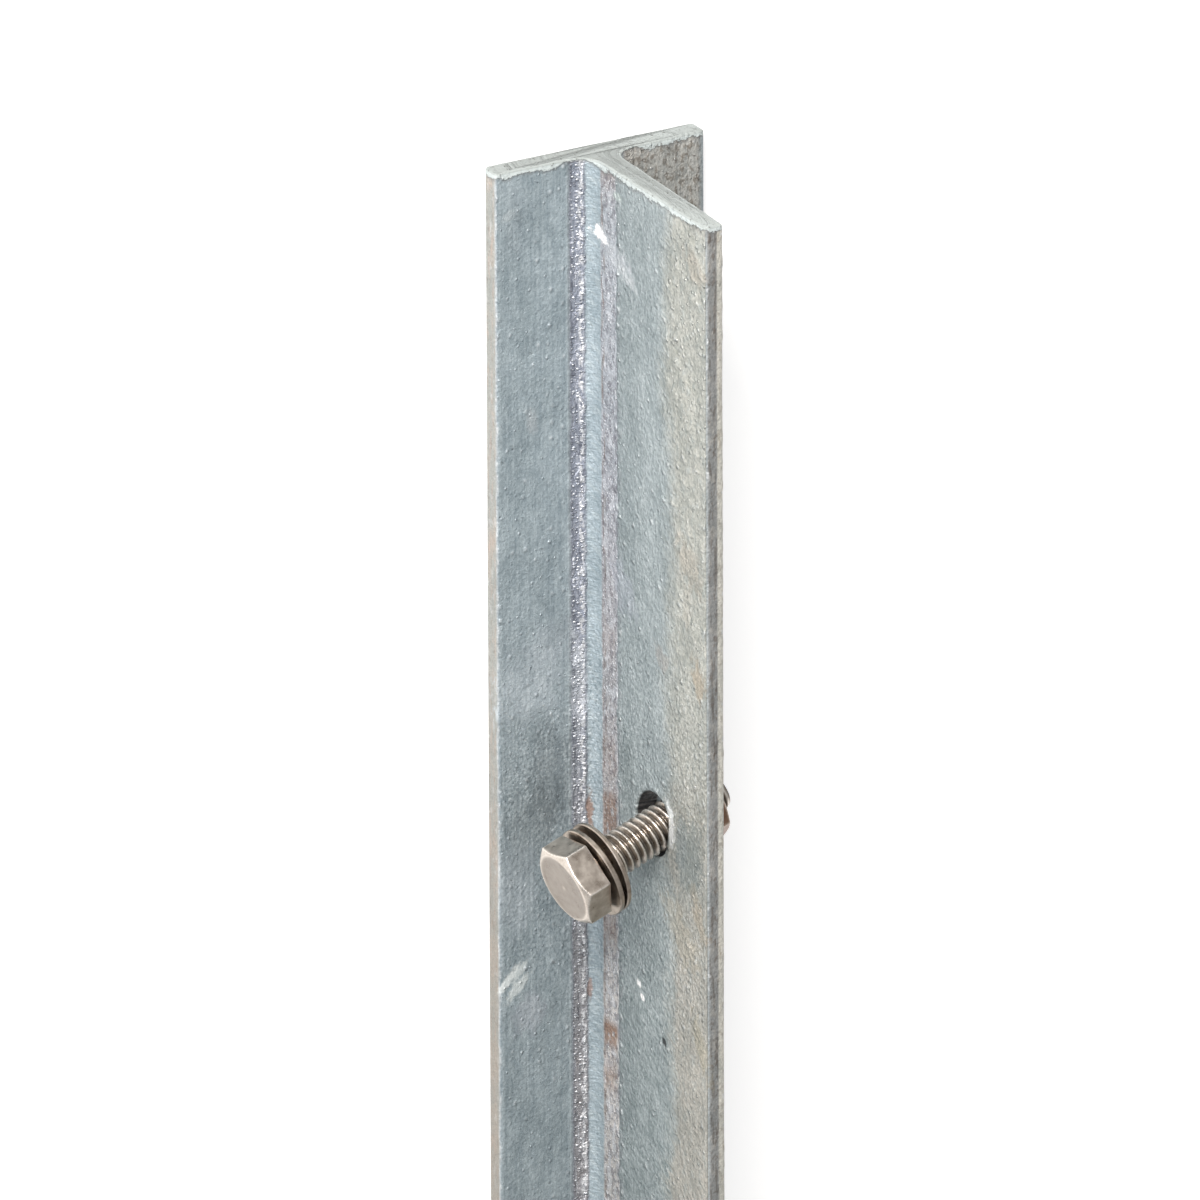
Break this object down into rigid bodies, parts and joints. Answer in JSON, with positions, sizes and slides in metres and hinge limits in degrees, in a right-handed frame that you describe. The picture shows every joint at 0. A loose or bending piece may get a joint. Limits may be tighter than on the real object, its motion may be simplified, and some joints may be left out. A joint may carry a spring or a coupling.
{
  "type": "t-profile earthing rod",
  "caption": "Hot-dip galvanised steel T-bar driven into soil as an earth electrode, square top end, mitred foot, and a loose stainless clamp screw with nut and washers through the web.",
  "frame": {"origin": "middle of the flange's back face at half the rod's length", "axes": "+X along the rod towards its square top end, +Z from the flange's back up the web, +Y towards the screw's head side"},
  "size_m": [1.0003, 0.042, 0.04],
  "materials": {
    "hot_dip_zinc": "hot-dip galvanised, dull with bright runs, cut end with light zinc paint",
    "stainless_screw": "stainless steel, cold formed, rolled thread",
    "stainless_washer_head_side": "stainless steel, stamped",
    "stainless_washer_web_side": "stainless steel, stamped",
    "stainless_nut": "stainless steel, cold formed"
  },
  "bodies": {
    "root": {"t_profile_rod": "hot_dip_zinc", "hex_bolt": "stainless_screw", "washer_head_side": "stainless_washer_head_side", "washer_web_side": "stainless_washer_web_side", "hex_nut": "stainless_nut"}
  },
  "joints": []
}
